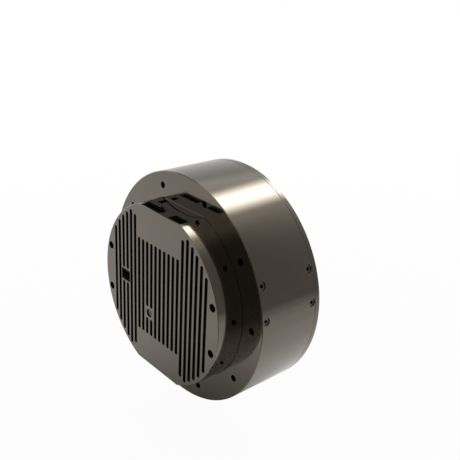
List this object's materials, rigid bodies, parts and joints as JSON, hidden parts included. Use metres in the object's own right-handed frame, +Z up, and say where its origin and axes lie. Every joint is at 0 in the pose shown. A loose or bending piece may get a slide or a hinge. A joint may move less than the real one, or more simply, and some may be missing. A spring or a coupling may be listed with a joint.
{
  "type": "robot joint actuator",
  "caption": "Flat outer-rotor joint actuator: a drum with an output bolt circle turns without limit about a fixed hub that carries the motor controller under a slotted cover.",
  "frame": {"origin": "on the rotation axis, in the plane of the output ring's front face", "axes": "+Y along the rotation axis from the front cover to the rear cap, +Z up, parallel to the vent slots, +X to the right seen from the front"},
  "size_m": [0.136, 0.0595, 0.136],
  "materials": {
    "hub_aluminium": "satin machined and anodised, warm grey",
    "drum_aluminium": "turned and anodised, warm grey satin",
    "screw_steel": "blackened, slightly worn",
    "standoff_brass": "turned",
    "circuit_board": "glass-epoxy board with black solder mask",
    "connector_nylon": "moulded glass-filled nylon",
    "contact_brass": "gold flash",
    "chip_epoxy": "moulded epoxy",
    "capacitor_can": "drawn can",
    "core_steel": "stacked electrical steel",
    "enamelled_copper": "enamelled copper wire",
    "bearing_steel": "ground bearing steel",
    "magnet_nickel": "nickel plated",
    "shaft_steel": "ground"
  },
  "bodies": {
    "stator": {"vented_cover": "hub_aluminium", "controller_housing": "hub_aluminium", "stator_carrier": "hub_aluminium", "tie_screws": "screw_steel", "driver_board": "circuit_board", "board_standoffs": "standoff_brass", "board_screws": "screw_steel", "power_connector": "connector_nylon", "power_pins": "contact_brass", "signal_connector": "connector_nylon", "signal_pins": "contact_brass", "service_connector": "connector_nylon", "service_pins": "contact_brass", "power_switches": "chip_epoxy", "bus_capacitors": "capacitor_can", "current_shunts": "chip_epoxy", "microcontroller": "chip_epoxy", "gate_driver": "chip_epoxy", "power_inductor": "chip_epoxy", "encoder_board": "circuit_board", "encoder_sensor": "chip_epoxy", "encoder_spacers": "standoff_brass", "encoder_screws": "screw_steel", "board_header": "connector_nylon", "stator_core": "core_steel", "coils_phase_u": "enamelled_copper", "coils_phase_v": "enamelled_copper", "coils_phase_w": "enamelled_copper", "front_insulator": "connector_nylon", "rear_insulator": "connector_nylon", "phase_leads": "enamelled_copper", "front_outer_race": "bearing_steel", "rear_outer_race": "bearing_steel", "bearing_circlip": "bearing_steel", "wave_spring": "bearing_steel"},
    "rotor": {"rotor_shell": "drum_aluminium", "output_ring": "drum_aluminium", "rear_cap": "drum_aluminium", "front_shell_screws": "screw_steel", "rear_shell_screws": "screw_steel", "yoke_ring": "core_steel", "north_magnets": "magnet_nickel", "south_magnets": "magnet_nickel", "rotor_shaft": "shaft_steel", "shaft_screws": "screw_steel", "shaft_nut": "shaft_steel", "inner_ring_spacer": "shaft_steel", "front_inner_race": "bearing_steel", "rear_inner_race": "bearing_steel", "magnet_holder": "shaft_steel", "encoder_magnet": "magnet_nickel"},
    "front_rollers": {"front_bearing_rollers": "bearing_steel", "front_bearing_cage": "connector_nylon"},
    "rear_rollers": {"rear_bearing_rollers": "bearing_steel", "rear_bearing_cage": "connector_nylon"}
  },
  "joints": [
    {"name": "rotor_spin", "type": "hinge", "parent": "stator", "child": "rotor", "pos_m": [0, 0, 0], "axis": [0, 1, 0], "continuous": true},
    {"name": "front_cage_spin", "type": "hinge", "parent": "stator", "child": "front_rollers", "pos_m": [0, 0.0115, 0], "axis": [0, 1, 0], "continuous": true},
    {"name": "rear_cage_spin", "type": "hinge", "parent": "stator", "child": "rear_rollers", "pos_m": [0, 0.03, 0], "axis": [0, 1, 0], "continuous": true}
  ],
  "couplings": [
    {"joint": "front_cage_spin", "follows": "rotor_spin", "ratio": 0.4435},
    {"joint": "rear_cage_spin", "follows": "rotor_spin", "ratio": 0.4435}
  ]
}
